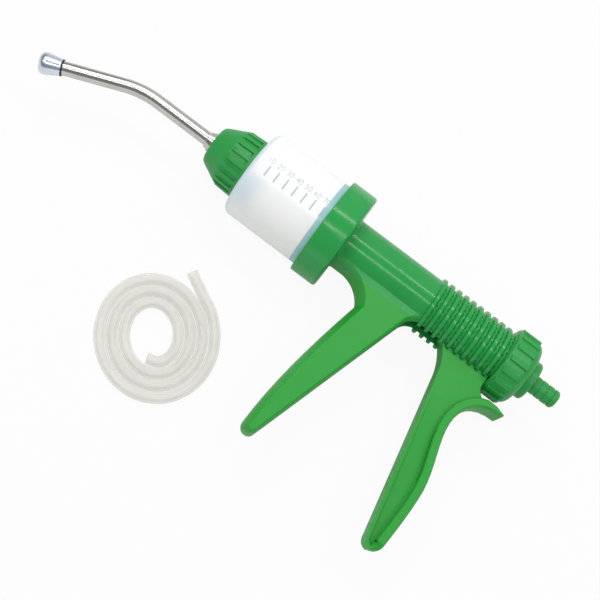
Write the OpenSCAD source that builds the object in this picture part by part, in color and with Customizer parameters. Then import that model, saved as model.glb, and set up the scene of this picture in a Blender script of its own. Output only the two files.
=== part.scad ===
// Livestock drencher: a squeeze gun that draws a measured dose into a graduated
// barrel and sends it through a bent metal nozzle. Millimetres. The gun lies on
// its side: +X towards the nozzle, +Y towards the handles, +Z up.
// Every piece is drawn about the barrel axis, with x = 0 at the collar's rear face.

/* [Barrel and dose] */
// Largest dose on the barrel's scale, in millilitres
dose_ml = 70; // [60:1:76]
// Outside diameter of the graduated barrel
barrel_d = 51.2; // [48:0.2:54]
// Wall of the barrel
barrel_wall = 2.3; // [1.8:0.1:3]
// Rounding of the barrel's front edge
barrel_round = 4; // [2:0.5:6]
// Thickness of the barrel's front wall
end_wall = 2; // [1.6:0.1:3]
// Length of the barrel's neck
neck_len = 9; // [8:0.5:10]
// Passage through the neck, as a share of the neck's diameter
neck_open = 0.714; // [0.66:0.002:0.74]

/* [Collar and body tube] */
// Wall of the collar around the barrel
collar_wall = 3.25; // [2.5:0.05:4.5]
// Length of the collar along the axis
collar_len = 15.8; // [14:0.2:18]
// Thickness of the collar's floor
collar_floor = 3.4; // [2.6:0.2:3.8]
// Rounding of the collar's rear edge
collar_edge = 1.6; // [0.8:0.2:2.4]
// Outside diameter of the body tube
tube_d = 30; // [29:0.2:32]
// Wall of the body tube
tube_wall = 3; // [2.6:0.1:3.2]
// Length of the body tube behind the collar
tube_len = 113.5; // [112:0.5:118]
// Distance from the collar to the start of the dose thread
thread_start = 54.1; // [52:0.1:60]
// Pitch of the dose thread
thread_pitch = 4.8; // [4:0.1:5.2]
// Height of the dose thread above the tube
thread_h = 1.5; // [1:0.1:1.8]
// Width of the thread's crest
thread_w = 1.9; // [1:0.1:2.2]
// Width of the slot that the rear handle slides in
slot_w = 12; // [11:0.2:13]

/* [Front handle] */
// Depth of the front handle's tip below the barrel axis
grip_reach = 116.4; // [105:0.2:122]
// Thickness of the front handle
grip_t = 20; // [18:0.5:23]
// Wall of the front handle's channel at its front edge
grip_wall = 4; // [3:0.2:5]
// Radius of the front handle's tip
grip_tip_r = 4.3; // [3.5:0.1:5.5]
// Distance from the collar to the middle of the front handle's tip
grip_tip_back = 17.6; // [15:0.2:21]
// Width of the front handle at its root
grip_root_w = 23.4; // [21:0.2:26]
// Radius of the notch between the collar and the front handle
notch_r = 19.3; // [17:0.1:21]
// Distance from the collar to the start of that notch
notch_back = 6.8; // [5:0.2:8]
// Depth below the axis where the notch meets the straight front edge
grip_root_y = 26.3; // [25:0.1:29]
// Rounding of the front handle's rear edge
grip_rear_round = 1.6; // [0.6:0.1:2.4]

/* [Rear handle] */
// Depth of the rear handle's tip below the barrel axis
lever_reach = 125.5; // [116:0.5:132]
// Thickness of the rear handle's web in the slot
web_t = 11; // [9.6:0.1:11.2]
// Width of the web where it leaves the tube
web_w = 23.2; // [21:0.2:25]
// Backward lean of the rear handle's front edge, in degrees
web_lean = 11; // [8:0.5:13]
// Radius of the rear handle's tip
lever_tip_r = 5.3; // [4.5:0.1:6]
// Width of the palm flange
palm_w = 18; // [15:0.5:20]
// Thickness of the palm flange
palm_t = 5.6; // [4:0.1:6.4]
// Depth of the hollow under the hook, from the web's rear plane
hollow_in = 2.6; // [1:0.1:4]
// Depth of the palm's belly below that hollow
belly_out = 8.6; // [6:0.1:11]
// Length of the hook behind the web
hook_len = 17.8; // [15:0.1:21]
// Width of the lip along the rear handle's front edge
lip_w = 1.8; // [1.2:0.1:2.6]
// Depth of the web's recess at its lower end
recess_d = 2.8; // [1.6:0.1:3.4]

/* [Rear nut and hose barb] */
// Length of the rear nut without its boss
nut_len = 16.2; // [15:0.2:18]
// Length of thread inside the rear nut
nut_grip = 9.7; // [9:0.1:10.4]
// Wall of the rear nut around the thread
nut_wall = 2.9; // [2.2:0.1:4]
// Rounding of the rear nut's back edge
nut_round = 5.5; // [3:0.1:6.5]
// Number of grip ridges on the rear nut
nut_ridges = 17; // [10:1:20]
// Width of a ridge on the rear nut
nut_ridge_w = 2.6; // [1.6:0.1:3.4]
// Height of a ridge on the rear nut
nut_ridge_h = 1.1; // [0.6:0.1:1.6]
// Length of a ridge on the rear nut
nut_ridge_len = 10.6; // [8:0.2:11]
// Diameter of the boss behind the rear nut
boss_d = 22.8; // [19:0.2:26]
// Length of that boss
boss_len = 5; // [3:0.2:7]
// Diameter over the hose barb's ridges
barb_d = 10.4; // [9.4:0.1:11]
// Length of the hose barb
barb_len = 15.8; // [14:0.2:20]
// Number of ridges on the hose barb
barb_ridges = 4; // [3:1:6]
// Width of a groove between two of those ridges
barb_groove = 1; // [0.6:0.1:1.4]
// Turns that the rear nut can be backed off
nut_turns = 2; // [1:0.5:2]

/* [Nozzle] */
// Diameter of the nozzle cap at its base
cap_d = 35.8; // [35:0.2:38]
// Wall of the nozzle cap, around the barrel's neck
cap_wall = 3.6; // [3.4:0.1:4.6]
// Length of the nozzle cap
cap_len = 24.4; // [22:0.2:27]
// Diameter of the nozzle cap's front face
cap_face_d = 18; // [15:0.2:20]
// Length of the cap's gripping part, before the cone
cap_grip_len = 11.2; // [10.4:0.1:12]
// Number of grip grooves around the nozzle cap
cap_grooves = 20; // [12:1:28]
// Depth of a groove on the nozzle cap
cap_groove_h = 1; // [0.4:0.1:1.2]
// Outside diameter of the delivery pipe
pipe_d = 7.8; // [7:0.1:8.4]
// Wall of the delivery pipe
pipe_wall = 0.8; // [0.6:0.1:1.2]
// Distance from the cap's face to the corner of the pipe's bend
bend_at = 48.2; // [40:0.2:56]
// Angle of the pipe's bend, in degrees
bend_deg = 23.4; // [10:0.2:35]
// Radius of the pipe's bend
bend_r = 50; // [35:1:60]
// Distance from the corner of the bend to the end of the nozzle tip
pipe_reach = 56.5; // [48:0.5:66]
// Diameter of the nozzle tip near its round end
tip_d = 12; // [11.4:0.1:13]
// Diameter of the nozzle tip where the pipe enters it
tip_back_d = 9.4; // [9.2:0.1:10.4]
// Length of the nozzle tip
tip_len = 12; // [11:0.2:14]
// Diameter of the hole in the nozzle tip
tip_hole_d = 4.8; // [4:0.1:5.2]
// Diameter of the ferrule on the cap's face
ferrule_d = 11.4; // [10:0.2:13]
// Length of that ferrule
ferrule_len = 4.3; // [3:0.1:6]

/* [Piston, rod and valves] */
// Length of the piston
piston_len = 12; // [11.4:0.1:12.4]
// How far the piston shows in front of the collar at rest
piston_peek = 2.6; // [1.6:0.1:3.4]
// Thickness of the piston's two sealing rings
ring_d = 2.4; // [2:0.1:2.6]
// Diameter of the plunger rod
rod_d = 9.6; // [9.4:0.1:10.4]
// Diameter of the passage in the plunger rod
rod_bore_d = 6.2; // [5.8:0.1:6.4]
// Wire of the return spring
spring_wire = 1.6; // [1.2:0.1:1.8]
// Turns of the return spring
spring_turns = 13; // [9:1:15]
// Wire of the two small valve springs
valve_wire = 0.6; // [0.5:0.05:0.7]
// Lift of the outlet valve
outlet_lift = 3; // [1.5:0.1:3.4]
// Lift of the inlet valve
inlet_lift = 1.6; // [1:0.1:1.8]

/* [Supply hose] */
// Outside diameter of the supply hose
hose_d = 5.8; // [5:0.1:6]
// Room between two turns of the coiled hose, across the coil's short way
hose_room = 0.9; // [0.9:0.05:1.1]
// Radius of the coil's outermost turn, at the middle of the hose
coil_r = 33; // [32:0.1:36]
// Length of the coil against its width
coil_oval = 1.13; // [1.1:0.01:1.2]
// Straight length at the hose's outer end
hose_tail = 15.4; // [8:0.1:24]
// Angle through which the hose winds, in degrees
coil_sweep = 1230; // [1080:15:1245]

/* [Hidden] */

// Clearances: a snug fit within one body, a running fit, and air between bodies
snug = 0.03;
running = 0.05;
air = 0.4;

// Barrel, collar and tube
bore_r = barrel_d / 2 - barrel_wall;
stroke = dose_ml * 1000 / (PI * bore_r * bore_r);
cup_r = barrel_d / 2 + 0.15;
collar_r = cup_r + collar_wall;
tube_r = tube_d / 2;
tube_bore_r = tube_r - tube_wall;
crest_r = tube_r + thread_h;
guide_r = 8;
guide_flange_t = 2;
gasket_t = 1.4;
barrel_x = collar_floor + gasket_t;

// Piston and inlet valve, from the piston's front face at rest
piston_x = collar_len + piston_peek;
piston_recess = 5.4;
piston_recess_r = 12;
seat_wall = 1.6;
seat_x = piston_x - piston_recess;
rod_x = seat_x - seat_wall;
cage_r = 9;
cage_wall = 1.6;
cage_plate = 1.2;
cage_peek = 0.8;
cage_x = piston_x + cage_peek;
poppet_t = 1.4;
ring_mid_r = bore_r - running - ring_d / 2;

// Front of the barrel and outlet valve
seat_flange_t = 1.2;
head_room = 0.6;
seat_flange_x = cage_x + stroke + head_room;
barrel_front = seat_flange_x + seat_flange_t + end_wall;
neck_x = barrel_front + neck_len;
neck_play = 0.3;
neck_d = cap_d - 2 * (cap_wall + neck_play);
neck_bore_r = neck_open * neck_d / 2;
outlet_x = barrel_front + 0.5;
outlet_hole_r = 0.45 * neck_bore_r;
outlet_disc_r = 0.65 * neck_bore_r;
outlet_spring_r = 0.46 * neck_bore_r;
cap_gasket_t = 0.9;
pipe_flange_t = 1.6;
pipe_flange_x = neck_x + cap_gasket_t;
pipe_r = pipe_d / 2;

// Nozzle cap and bent pipe
cap_x = barrel_front + 0.3;
cap_face_x = cap_x + cap_len;
cap_rim = 2;
cap_taper = 0.6;
cap_turned = 3.6;
corner_x = cap_face_x + bend_at;
bend_x = corner_x - bend_r * tan(bend_deg / 2);
pipe_dir = [cos(bend_deg), sin(bend_deg), 0];
tip_end = [corner_x, 0, 0] + pipe_reach * pipe_dir;
tip_socket = tip_len - 3;
tip_dome = 4;
bend_play = 0.02;

// Rear nut and hose barb, behind the tube
nut_x = nut_grip - tube_len;
nut_bore_r = crest_r + 0.3;
nut_r = nut_bore_r + nut_wall;
nut_turned = 14;
ridge_r = nut_r + nut_ridge_h;
nut_back = nut_x - nut_len;
boss_back = nut_back - boss_len;
spigot_flange_t = 1.5;
spigot_gap = 1.5;
spigot_x = -tube_len - spigot_gap - spigot_flange_t;
barb_hole_r = barb_d / 2 + 0.3;
barb_r = barb_d / 2;
barb_groove_h = 0.4;
clip_groove_h = 0.7;
barb_bore_r = 2.1;
clip_t = 1;
barb_x = boss_back - running - clip_t;
barb_end = barb_x - barb_len;
nut_travel = nut_turns * thread_pitch;

// Rear handle, from the plane that rests in front of the nut
lever_x = nut_x + air;
hub_r = tube_bore_r - 0.3;
hub_len = 29.4;
hub_x = lever_x + hub_len;
rod_back = lever_x - 6.6;
spigot_front = rod_back + stroke + nut_travel + 11;
web_top = tube_bore_r - 1;
web_fillet_r = 36;
web_fillet_y = tube_r + 14.5;
hook_y = ridge_r + 3.4;
hook_tip = [lever_x - hook_len, hook_y + 4];
hook_t = 0.22;
lever_tip = [lever_x + 0.4, lever_reach - lever_tip_r];
lever_span = lever_tip.y - hook_y;
hollow = [lever_x + hollow_in, hook_y + 0.2437 * lever_span];
belly = [hollow.x - belly_out, hook_y + 0.6979 * lever_span];

// Front handle
notch_mid = [-notch_back, tube_r + notch_r];
grip_root = [notch_mid.x - sqrt(pow(notch_r, 2) - pow(notch_mid.y - grip_root_y, 2)), grip_root_y];
grip_tip = [-grip_tip_back, grip_reach - grip_tip_r];
grip_bend_y = grip_reach - 38.5;
grip_core = grip_t / 2 - 4.5;
grip_top = tube_r / 2;
slot_front = web_front_edge(0)[0].x + stroke + 3;

// Coil of hose: its short way, where it starts, and how its middle wanders as it winds in
coil_mid = [50.8, 100];
coil_turn = 43;
coil_start = 210;
coil_step = 15;
coil_drift = [2.2, -3.2];
coil_pitch = hose_d + hose_room;

// Place of the barrel axis: the gun's box stands on z = 0, centred on the origin
gun_back = barb_end;
gun_front = max([for (p = tip_profile()) tip_end.x + p[1] * cos(bend_deg) + p[0] * sin(bend_deg)]);
gun_shift = [-(gun_back + gun_front) / 2, -(lever_reach - collar_r) / 2, collar_r];

green = "#2fa64b";
deep_green = "#279244";
frosted = [0.93, 0.95, 0.97, 0.55];
steel = "#c4c7c9";
chrome = "#e2e4e6";
teal = "#4d9ea3";
sea_blue = "#6f9fc4";
dark = "#2b2d2e";
ivory = [0.93, 0.91, 0.86, 0.8];

function arc(mid, r, from, to, steps) =
    [for (i = [0:steps]) let (a = from + (to - from) * i / steps) mid + r * [cos(a), sin(a)]];

function bezier(a, b, c, d, steps) =
    [for (i = [0:steps]) let (t = i / steps, u = 1 - t)
        u * u * u * a + 3 * u * u * t * b + 3 * u * t * t * c + t * t * t * d];

function reversed(list) = [for (i = [len(list) - 1:-1:0]) list[i]];

function unit(v) = v / norm(v);

// A solid of revolution about the barrel axis, from points [radius, x]
module turned(profile) {
    rotate([0, 90, 0])
        rotate_extrude($fn = 96)
            polygon(profile);
}

// A ring about the barrel axis between two radii and two places
module ring(inner, outer, from, to) {
    turned([[inner, from], [outer, from], [outer, to], [inner, to]]);
}

// A plate in the handles' plane, centred on it
module plate(outline, thickness) {
    linear_extrude(thickness, center = true)
        polygon(outline);
}

// One closed tube along a path, with a guide vector at each point
module swept_tube(path, guides, r, sides) {
    last = len(path) - 1;
    rings = [for (i = [0:last])
        let (ahead = unit(path[min(i + 1, last)] - path[max(i - 1, 0)]),
            side = unit(cross(guides[i], ahead)),
            up = cross(ahead, side))
        for (k = [0:sides - 1])
            path[i] + r * (cos(k * 360 / sides + 90) * side + sin(k * 360 / sides + 90) * up)];
    walls = [for (i = [0:last - 1], k = [0:sides - 1])
        let (a = i * sides + k, b = i * sides + (k + 1) % sides)
        each [[a, b + sides, b], [a, a + sides, b + sides]]];
    ends = [for (k = [1:sides - 2])
        each [[0, k, k + 1], [last * sides, last * sides + k + 1, last * sides + k]]];
    polyhedron(rings, concat(walls, ends));
}

// A coil spring about the barrel axis with straight wire ends
module coil_spring(from, to, mid_r, wire, turns) {
    steps = turns * 8;
    rise = (to - from - wire) / steps;
    turn = [for (i = [0:steps])
        [from + wire / 2 + rise * i, mid_r * cos(i * 45), mid_r * sin(i * 45)]];
    spokes = [for (p = turn) [0, p.y, p.z]];
    first = turn[0] - [0, 0, wire];
    final = turn[steps] + wire * [0, -sin(steps * 45), cos(steps * 45)];
    swept_tube(concat([first], turn, [final]), concat([spokes[0]], spokes, [spokes[steps]]),
        wire / 2, 6);
}

// Front handle outlines

// The straight rear edge of the front handle, as x at a depth y
function grip_rear_x(y) =
    let (low = grip_tip - [grip_tip_r, 0], high = [grip_root.x - grip_root_w, grip_root_y])
    high.x + (low.x - high.x) * (y - high.y) / (low.y - high.y);

// The front edge: straight at the root and bending to run straight down to the tip
function grip_front_edge(back) =
    let (end = grip_tip + [grip_tip_r, -2], knee = [end.x, grip_bend_y],
        lean = (knee.x - grip_root.x) / (knee.y - grip_root.y),
        top = [grip_root.x - lean * (grip_root.y - grip_top), grip_top])
    [for (p = concat([top], bezier(grip_root, grip_root + (knee - grip_root) * 2 / 3,
        knee + (end - knee) / 3, end, 8))) p - [back, 0]];

// The whole blade, drawn in by its rounding at the front, the rear and the tip
function grip_outline(front_in, rear_in) =
    concat(grip_front_edge(front_in),
        arc(grip_tip + [(rear_in - front_in) / 2, 0], grip_tip_r - (front_in + rear_in) / 2, 0, 180, 12),
        [[grip_rear_x(grip_top) + rear_in, grip_top]]);

// Radius of a round notch across the handle that runs smoothly into the tube, at a height off its middle
function notch_waist(mid, z) = mid.y - sqrt(pow(tube_r - 0.1, 2) - z * z);

// How far the front edge is drawn in at a height off the handle's middle, to meet the finger notch
function front_draw(z) =
    let (drop = notch_mid.y - grip_root_y)
    sqrt(pow(notch_waist(notch_mid, z), 2) - drop * drop)
        - sqrt(pow(notch_waist(notch_mid, 0), 2) - drop * drop);

// How far the rear edge is drawn in at that height, by a plain rounding
function rear_draw(z) =
    grip_rear_round * (1 - cos(asin(max(0, abs(z) - grip_core) / (grip_t / 2 - grip_core))));

// The front handle's blade, with rounded edges
module grip_blade() {
    hull()
        for (z = [0, 0.3, 0.55, 0.75, 0.9, 1] * grip_t / 2)
            plate(grip_outline(front_draw(z), rear_draw(z)), max(0.1, 2 * z));
}

// A round cutter across the handle, hollowed so that what it leaves runs smoothly into the tube
module notch_cutter(mid) {
    half = grip_t / 2 + 0.5;
    waist = [for (k = [-8:8]) let (z = half * k / 8) [notch_waist(mid, z), z]];
    translate([mid.x, mid.y, 0])
        rotate_extrude($fn = 96)
            polygon(concat([[0, -half]], waist, [[0, half]]));
}

// The web that runs from the front handle up to the collar, hollowed by the finger notch
module front_gusset() {
    back = grip_front_edge(front_draw(grip_t / 2))[0].x - 1;
    difference() {
        plate([[-notch_back, grip_top], [back, grip_top], [back, grip_root_y],
            [-notch_back, grip_root_y]], grip_t);
        notch_cutter(notch_mid);
    }
}

// The fillet between the front handle's rear edge and the tube, one outline for each height off the middle
module rear_gusset() {
    fillet_r = 9;
    steps = 8;
    inside = [grip_wall, 0];
    slope = grip_rear_x(1) - grip_rear_x(0);
    outlines = [for (k = [-6:6])
        let (z = grip_t / 2 * sin(k * 15),
            drawn_in = rear_draw(z),
            y = sqrt(pow(tube_r - 0.1, 2) - z * z) + fillet_r,
            mid = [grip_rear_x(y) + drawn_in - fillet_r * sqrt(1 + slope * slope), y],
            bow = arc(mid, fillet_r, -90, -atan(slope), steps),
            corner = [grip_rear_x(grip_top) + drawn_in, grip_top] + inside)
        [for (p = concat([corner, [mid.x, grip_top]], bow, [bow[steps] + inside])) [p.x, p.y, z]]];
    count = len(outlines[0]);
    top = count * (len(outlines) - 1);
    walls = [for (i = [0:len(outlines) - 2], k = [0:count - 1])
        let (a = i * count + k, b = i * count + (k + 1) % count)
        each [[a, b, b + count], [a, b + count, a + count]]];
    ends = [for (k = [1:count - 2]) each [[0, k + 1, k], [top, top + k, top + k + 1]]];
    polyhedron([for (level = outlines) each level], concat(walls, ends));
}

// The slot under the tube and the channel that takes the rear handle's web
module web_slot() {
    inner = [for (p = grip_front_edge(grip_wall)) if (p.y > grip_root_y - 4) p];
    floor_y = grip_tip.y - grip_wall;
    plate(concat([[slot_front, 0], [slot_front, tube_r + 4]], [for (p = inner) if (p.y < floor_y) p],
        [[grip_tip.x, floor_y], [-tube_len - 1, floor_y], [-tube_len - 1, 0]]), slot_w);
}

// The dose thread: one right-hand ridge from under the tube to its rear end
module dose_thread() {
    per_turn = 24;
    count = floor((tube_len - thread_start - thread_w) / thread_pitch * per_turn);
    foot_r = tube_r - 0.6;
    half = thread_w / 2;
    slope = 0.45;
    section = [[foot_r, half + slope], [crest_r, half], [crest_r, -half], [foot_r, -half - slope]];
    points = [for (i = [0:count], p = section)
        let (a = 90 + i * 360 / per_turn)
        [p[1] - thread_start - i * thread_pitch / per_turn, p[0] * cos(a), -p[0] * sin(a)]];
    walls = [for (i = [0:count - 1], k = [0:3])
        let (a = i * 4 + k, b = i * 4 + (k + 1) % 4)
        each [[a, b, b + 4], [a, b + 4, a + 4]]];
    last = count * 4;
    polyhedron(points, concat(walls, [[0, 2, 1], [0, 3, 2], [last, last + 1, last + 2],
        [last, last + 2, last + 3]]));
}

// Collar, slotted tube and front handle, one moulding
module front_body() {
    fillet = 1.5;
    color(green)
    difference() {
        union() {
            turned(concat([[0, -tube_len], [tube_r, -tube_len]],
                arc([tube_r + fillet, -fillet], fillet, 180, 90, 6),
                arc([collar_r - collar_edge, collar_edge], collar_edge, -90, 0, 6),
                [[collar_r, collar_len], [0, collar_len]]));
            dose_thread();
            grip_blade();
            front_gusset();
            rear_gusset();
        }
        turned([[0, -tube_len - 1], [tube_bore_r, -tube_len - 1], [tube_bore_r, 0], [guide_r, 0],
            [guide_r, collar_floor], [cup_r, collar_floor], [cup_r, collar_len + 1], [0, collar_len + 1]]);
        web_slot();
    }
}

// Graduated barrel with its neck
module barrel() {
    inner = barrel_front - end_wall;
    color(frosted)
    turned(concat([[bore_r, barrel_x], [barrel_d / 2, barrel_x]],
        arc([barrel_d / 2 - barrel_round, barrel_front - barrel_round], barrel_round, 0, 90, 8),
        [[neck_d / 2, barrel_front], [neck_d / 2, neck_x], [neck_bore_r, neck_x], [neck_bore_r, inner],
            [bore_r, inner]]));
}

// Flat ring between the barrel's rear end and the collar's floor
module barrel_gasket() {
    color(dark)
    ring(bore_r, cup_r - running, collar_floor, barrel_x);
}

// Flanged bush that guides the plunger rod through the collar's floor
module rod_guide() {
    inner = rod_d / 2 + running;
    color(steel)
    turned([[inner, -guide_flange_t], [tube_bore_r - running, -guide_flange_t], [tube_bore_r - running, 0],
        [guide_r - snug, 0], [guide_r - snug, collar_floor], [inner, collar_floor]]);
}

// Spring that pushes the rear handle back
module return_spring() {
    color(steel)
    coil_spring(hub_x, -guide_flange_t, (rod_d / 2 + tube_bore_r) / 2, spring_wire, spring_turns);
}

// The grip grooves of the nozzle cap: each leaves a rim behind and runs out on the cone in front
module cap_grooves_cut() {
    width = 0.52 * PI * cap_d / cap_grooves;
    front_x = cap_x + 2 * cap_grip_len;
    floor_r = cap_d / 2 - cap_groove_h;
    intersection() {
        turned([[floor_r - cap_taper * cap_rim / cap_grip_len, cap_x + cap_rim], [cap_d, cap_x + cap_rim],
            [cap_d, front_x], [floor_r - 2 * cap_taper, front_x]]);
        for (k = [0:cap_grooves - 1])
            rotate([k * 360 / cap_grooves + cap_turned, 0, 0])
                translate([cap_x, -width / 2, 0])
                    cube([cap_len, width, cap_d]);
    }
}

// Screw cap that holds the nozzle, with a grooved grip and a cone
module nozzle_cap() {
    cavity_r = neck_d / 2 + neck_play;
    shoulder_x = pipe_flange_x + pipe_flange_t;
    cone_end = [cap_face_d / 2 + 3.2, cap_face_x - 3];
    color(green)
    difference() {
        turned(concat([[0, cap_x], [cap_d / 2, cap_x], [cap_d / 2 - cap_taper, cap_x + cap_grip_len]],
            bezier(cone_end, cone_end + [-0.9, 1.9], [cap_face_d / 2 + 1.6, cap_face_x],
                [cap_face_d / 2, cap_face_x], 6),
            [[0, cap_face_x]]));
        cap_grooves_cut();
        turned([[0, cap_x - 1], [cavity_r, cap_x - 1], [cavity_r, shoulder_x], [pipe_r + snug, shoulder_x],
            [pipe_r + snug, cap_face_x + 1], [0, cap_face_x + 1]]);
    }
}

// Flat ring that seals the pipe's flange on the barrel's neck
module cap_gasket() {
    color(dark)
    ring(neck_bore_r, neck_d / 2, neck_x, pipe_flange_x);
}

// Flanged seat of the outlet valve, in the barrel's neck
module outlet_seat() {
    color(sea_blue)
    turned([[outlet_hole_r, seat_flange_x], [neck_bore_r + 3, seat_flange_x],
        [neck_bore_r + 3, seat_flange_x + seat_flange_t], [neck_bore_r - snug, seat_flange_x + seat_flange_t],
        [neck_bore_r - snug, outlet_x], [outlet_hole_r, outlet_x]]);
}

// Disc of the outlet valve, with the stem that guides it in its seat
module outlet_poppet() {
    stem_r = outlet_hole_r - 2;
    color(teal)
    turned([[0, seat_flange_x], [stem_r, seat_flange_x], [stem_r, outlet_x + running],
        [outlet_disc_r, outlet_x + running], [outlet_disc_r, outlet_x + poppet_t], [1.6, outlet_x + poppet_t],
        [1.6, outlet_x + poppet_t + 2], [0, outlet_x + poppet_t + 2]]);
}

// Spring that closes the outlet valve
module outlet_spring() {
    color(steel)
    coil_spring(outlet_x + poppet_t, pipe_flange_x, outlet_spring_r, valve_wire, 5);
}

// The outside or the passage of the bent delivery pipe: the bend is a hair wider than its ends
module bent_rod(r, from, extra) {
    overlap = 0.4;
    leg = bend_r * tan(bend_deg / 2) - overlap;
    run = pipe_reach - leg - (tip_len - tip_socket) + extra;
    translate([from, 0, 0])
        rotate([0, 90, 0])
            cylinder(r = r, h = corner_x - leg - from, $fn = 48);
    translate([bend_x, bend_r, 0])
        rotate([0, 0, -90])
            rotate_extrude(angle = bend_deg, $fn = 96)
                translate([bend_r, 0])
                    circle(r + bend_play, $fn = 48);
    translate([corner_x, 0, 0] + leg * pipe_dir)
        rotate([0, 0, bend_deg])
            rotate([0, 90, 0])
                cylinder(r = r, h = run, $fn = 48);
}

// Bent metal pipe with the flange that the cap clamps
module delivery_pipe() {
    color(steel)
    difference() {
        union() {
            ring(0, neck_d / 2, pipe_flange_x, pipe_flange_x + pipe_flange_t);
            bent_rod(pipe_r, pipe_flange_x + pipe_flange_t / 2, 0);
        }
        bent_rod(pipe_r - pipe_wall, pipe_flange_x - 1, 1);
    }
}

// Stepped metal collar where the pipe leaves the cap
module nozzle_ferrule() {
    inner = pipe_r + snug;
    step_x = cap_face_x + ferrule_len / 2;
    color(steel)
    turned([[inner, cap_face_x], [ferrule_d / 2, cap_face_x], [ferrule_d / 2, step_x],
        [ferrule_d / 2 - 0.8, step_x], [ferrule_d / 2 - 0.8, cap_face_x + ferrule_len - 0.4],
        [ferrule_d / 2 - 1.2, cap_face_x + ferrule_len], [inner, cap_face_x + ferrule_len]]);
}

// Moves a piece drawn behind the origin to the end of the bent pipe
module at_tip() {
    translate(tip_end)
        rotate([0, 0, bend_deg])
            children();
}

// The nozzle tip's outline, as points [radius, x] behind its end: a cone that widens to a low dome
function tip_profile() =
    let (inner = pipe_r + snug, hole_r = tip_hole_d / 2, step_x = tip_socket - tip_len, front_r = tip_d / 2)
    concat([[inner, -tip_len], [tip_back_d / 2 - 0.3, -tip_len], [tip_back_d / 2, 0.3 - tip_len]],
        bezier([front_r, -tip_dome], [front_r + 0.3, -0.4 * tip_dome], [front_r - 1, 0], [hole_r + 0.4, 0], 8),
        [[hole_r, -0.4], [hole_r, step_x], [inner, step_x]]);

// Rounded metal end of the nozzle, which is safe in the animal's mouth
module nozzle_tip() {
    color(chrome)
    at_tip()
        turned(tip_profile());
}

// Dark seal where the pipe enters the nozzle tip
module tip_ring() {
    seal_h = 0.7;
    color(dark)
    at_tip()
        ring(pipe_r + snug, pipe_r + seal_h, -tip_len - seal_h, -tip_len);
}

// Rear handle outlines

// The front edge, from its fillet in the slot down to the tip
function web_front_edge(back) =
    let (high = [lever_x + web_w, web_fillet_y],
        mid = high + web_fillet_r * [cos(web_lean), sin(web_lean)],
        end = lever_tip + lever_tip_r * [cos(web_lean), sin(web_lean)])
    [for (p = concat(arc(mid, web_fillet_r, 180 + asin((mid.y - web_top) / web_fillet_r), 180 + web_lean, 8),
        [end])) p - [back, 0]];

// The palm side, from under the hook, round the belly and round the tip
function palm_path() =
    let (end = lever_tip - [lever_tip_r, 0], span = lever_span)
    concat(bezier(hook_tip, hook_tip + [14, 0.5], hollow - [0, 0.115 * span], hollow, 8),
        after(bezier(hollow, hollow + [0, 0.135 * span], belly - [0.2, 0.177 * span], belly, 9)),
        after(bezier(belly, belly + [-0.2, 0.104 * span], end - [0.7, 0.094 * span], end, 5)),
        after(arc(lever_tip, lever_tip_r, 180, 90, 5)));

function after(list) = [for (i = [1:len(list) - 1]) list[i]];

// Directions from the palm side into the handle
function palm_inwards() =
    let (path = palm_path(), last = len(path) - 1)
    [for (i = [0:last]) let (u = unit(path[min(i + 1, last)] - path[max(i - 1, 0)])) [u.y, -u.x]];

// The palm side moved into the handle by some distance
function palm_inset(depth) =
    let (path = palm_path(), inwards = palm_inwards())
    [for (i = [0:len(path) - 1]) path[i] + depth * inwards[i]];

// The notch in the rear edge that clears the nut
function nut_notch() =
    [[lever_x - 3.4, hook_y + 1.4], [lever_x - 0.8, hook_y - 1.2], [lever_x, hook_y - 2.6], [lever_x, web_top]];

// The web and tip, without the flange's width
module lever_plate() {
    inner = palm_inset(2.4);
    plate(concat(web_front_edge(0), after(arc(lever_tip, lever_tip_r, web_lean, 90, 8)),
        reversed([for (i = [4:len(inner) - 2]) inner[i]]), nut_notch()), web_t);
}

// The crowned flange that rests in the palm, thinning out along the hook and narrowing round the tip
module palm_flange() {
    path = palm_path();
    inwards = palm_inwards();
    last = len(path) - 1;
    round_from = last - 5;
    section = [[-1, 1.5], [-0.9, 0.7], [-0.55, 0.2], [0, 0], [0.55, 0.2], [0.9, 0.7], [1, 1.5],
        [1, palm_t - 0.6], [0.93, palm_t], [-0.93, palm_t], [-1, palm_t - 0.6]];
    count = len(section);
    points = [for (i = [0:last], p = section)
        let (thin = min(1, hook_t + (1 - hook_t) * sin(min(i, 3) * 30),
                i > round_from ? (lever_tip_r - 0.6) / palm_t : 1),
            half = palm_w / 2 - (palm_w / 2 - web_t / 2 + 0.3) * max(0, i - round_from) / 5,
            q = path[i] + p[1] * thin * inwards[i])
        [q.x, q.y, p[0] * half]];
    walls = [for (i = [0:last - 1], k = [0:count - 1])
        let (a = i * count + k, b = i * count + (k + 1) % count)
        each [[a, a + count, b + count], [a, b + count, b]]];
    ends = [for (k = [1:count - 2])
        each [[0, k, k + 1], [last * count, last * count + k + 1, last * count + k]]];
    polyhedron(points, concat(walls, ends));
}

// The sloping recess in the web's two faces
module web_recess() {
    top_y = hook_y + 0.146 * lever_span;
    tilt = atan(recess_d / (lever_tip.y - top_y));
    front = [for (p = web_front_edge(lip_w)) if (p.y > top_y && p.y < lever_tip.y) p];
    rear = [for (p = palm_inset(palm_t - 1)) if (p.y > top_y && p.y < lever_tip.y) p];
    high = [lever_x + web_w - lip_w - (top_y - web_fillet_y) * tan(web_lean), top_y];
    outline = concat([high], front, arc(lever_tip, lever_tip_r - lip_w, web_lean, 120, 6), reversed(rear));
    for (flip = [0, 1])
        mirror([0, 0, flip])
            translate([0, top_y, web_t / 2])
                rotate([-tilt, 0, 0])
                    translate([0, -top_y, 0])
                        linear_extrude(web_t)
                            polygon(outline);
}

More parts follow.
